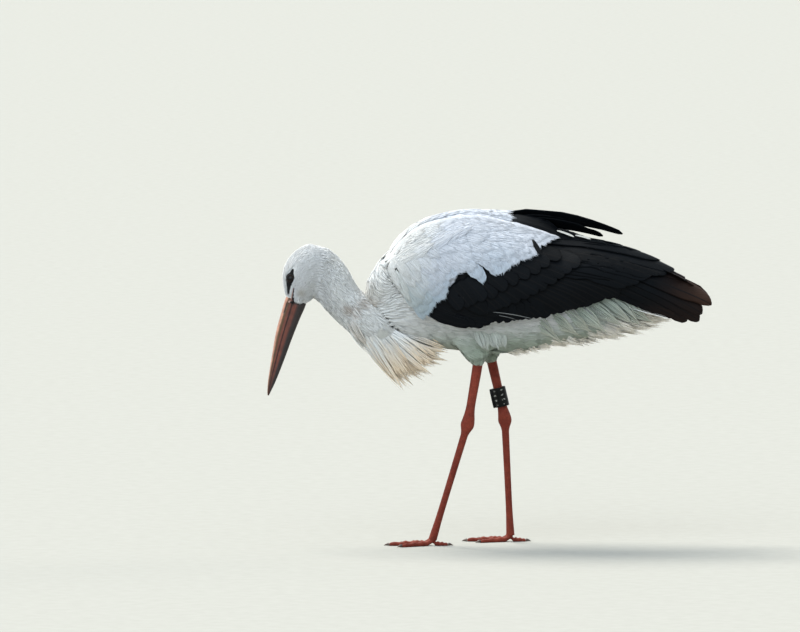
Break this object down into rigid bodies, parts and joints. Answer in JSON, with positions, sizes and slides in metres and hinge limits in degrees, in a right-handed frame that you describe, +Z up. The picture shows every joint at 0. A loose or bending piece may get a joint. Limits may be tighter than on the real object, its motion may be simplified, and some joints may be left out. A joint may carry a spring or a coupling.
{
  "type": "white stork",
  "caption": "Life-size still model of a white stork that stoops to pick at the ground, with folded black and white wings, a long red bill, red legs and a leg ring.",
  "frame": {"origin": "on the floor, under the middle of the bird's bounds", "axes": "the bird faces -X, its left side faces -Y, +Z is up"},
  "size_m": [0.7769, 0.2212, 0.5856],
  "materials": {
    "white_feathers": "soft white feathers, matt, warm cream on the plumes and belly",
    "black_feathers": "near-black flight feathers with a faint purple gloss, browner at the tips",
    "bill": "dull dark red horn, satin",
    "leg_skin": "brick-red scaled skin, dusty",
    "eye": "dark brown, wet and glossy",
    "claw": "dark horn, worn",
    "leg_ring": "black plastic, satin, with pale worn marks that spell nothing"
  },
  "bodies": {
    "root": {"torso": "white_feathers", "neck_upper": "white_feathers", "neck_lower": "white_feathers", "head": "white_feathers", "eye_left": "eye", "eye_right": "eye", "bill_upper": "bill", "bill_lower": "bill", "wing_left_coverts": "white_feathers", "wing_left_flight": "black_feathers", "wing_right_coverts": "white_feathers", "wing_right_flight": "black_feathers", "tail": "white_feathers", "thigh_left": "white_feathers", "shin_left": "leg_skin", "tarsus_left": "leg_skin", "foot_left": "leg_skin", "claw_left_inner": "claw", "claw_left_middle": "claw", "claw_left_outer": "claw", "claw_left_hind": "claw", "thigh_right": "white_feathers", "shin_right": "leg_skin", "tarsus_right": "leg_skin", "foot_right": "leg_skin", "claw_right_inner": "claw", "claw_right_middle": "claw", "claw_right_outer": "claw", "claw_right_hind": "claw", "ring_right": "leg_ring"}
  },
  "joints": []
}
